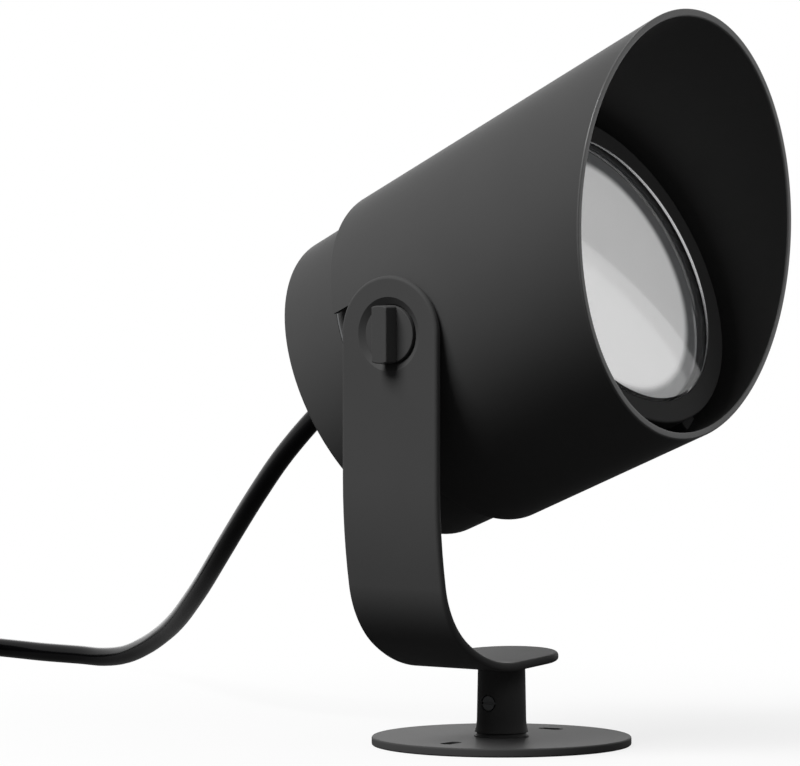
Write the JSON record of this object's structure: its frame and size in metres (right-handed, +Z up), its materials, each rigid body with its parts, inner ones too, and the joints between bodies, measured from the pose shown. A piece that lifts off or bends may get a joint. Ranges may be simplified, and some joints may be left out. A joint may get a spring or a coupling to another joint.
{
  "type": "outdoor spotlight",
  "caption": "Outdoor spotlight on a round foot: a conical slant-cut shroud over a tilting housing, held on one side by a bent flat arm that swivels on a short column, with a free cord.",
  "frame": {"origin": "centre of the base plate's underside", "axes": "+Z up along the column, +X the beam's heading seen from above, -Y the side where the arm stands"},
  "size_m": [0.525, 0.2364, 0.2543],
  "materials": {
    "powder_coat": "fine-textured matt powder coat",
    "steel": "plain turned steel",
    "dark_steel": "blackened steel",
    "brass": "turned brass",
    "friction_pad": "pressed friction material",
    "washer_plastic": "plain acetal",
    "seal_rubber": "moulded silicone",
    "cord_jacket": "smooth, slightly glossy extruded jacket",
    "moulded_rubber": "matt moulded rubber",
    "lens_glass": "clear toughened glass with a polished edge",
    "opal": "opal white diffuser",
    "reflector_white": "white moulded reflector",
    "board_white": "white solder mask",
    "light_chip": "yellow phosphor",
    "board_green": "green solder mask",
    "component": "moulded component cases",
    "terminal_plastic": "moulded terminal body",
    "wire_insulation": "coloured wire insulation",
    "black_plastic": "moulded black polyamide",
    "tie_plastic": "woven hook-and-loop strap"
  },
  "bodies": {
    "base": {"base_plate": "powder_coat", "swivel_post": "powder_coat", "post_screw": "steel"},
    "arm": {"arm": "powder_coat", "thrust_washer": "washer_plastic", "knob_washer": "steel", "cord": "cord_jacket", "cord_coil": "cord_jacket", "cord_tail": "cord_jacket", "cord_ties": "tie_plastic", "connector_boot": "moulded_rubber", "connector_body": "black_plastic", "connector_nut": "black_plastic", "connector_contacts": "brass"},
    "set_screw": {"set_screw": "dark_steel"},
    "knob": {"tilt_knob": "powder_coat", "knob_stud": "steel"},
    "head": {"friction_washer": "friction_pad", "pivot_insert": "brass", "main_housing": "powder_coat", "rear_cover": "powder_coat", "cover_seal": "seal_rubber", "cover_screws": "steel", "shroud": "powder_coat", "shroud_screws": "steel", "bezel_ring": "powder_coat", "lens_glass": "lens_glass", "lens_seal": "seal_rubber", "diffuser": "opal", "reflector": "reflector_white", "led_board": "board_white", "led_chips": "light_chip", "board_screws": "steel", "driver_board": "board_green", "driver_parts": "component", "driver_screws": "steel", "terminal_block": "terminal_plastic", "supply_wires": "wire_insulation", "led_leads": "wire_insulation", "gland_body": "black_plastic", "gland_locknut": "black_plastic", "gland_seal": "seal_rubber", "strain_relief": "moulded_rubber", "cord_entry": "cord_jacket"}
  },
  "joints": [
    {"name": "swivel", "type": "hinge", "parent": "base", "child": "arm", "pos_m": [0, 0, 0.016], "axis": [0, 0, 1], "range_deg": [-180, 180]},
    {"name": "tilt", "type": "hinge", "parent": "arm", "child": "head", "pos_m": [0, 0, 0.1444], "axis": [0, -1, 0], "range_deg": [-70, 90], "deforming": ["cord"]},
    {"name": "knob_turn", "type": "hinge", "parent": "arm", "child": "knob", "pos_m": [0, -0.066, 0.1444], "axis": [0, -1, 0], "range_deg": [0, 360]},
    {"name": "set_screw_turn", "type": "hinge", "parent": "arm", "child": "set_screw", "pos_m": [0, -0.008, 0.0149], "axis": [0, -1, 0], "range_deg": [0, 360]}
  ]
}
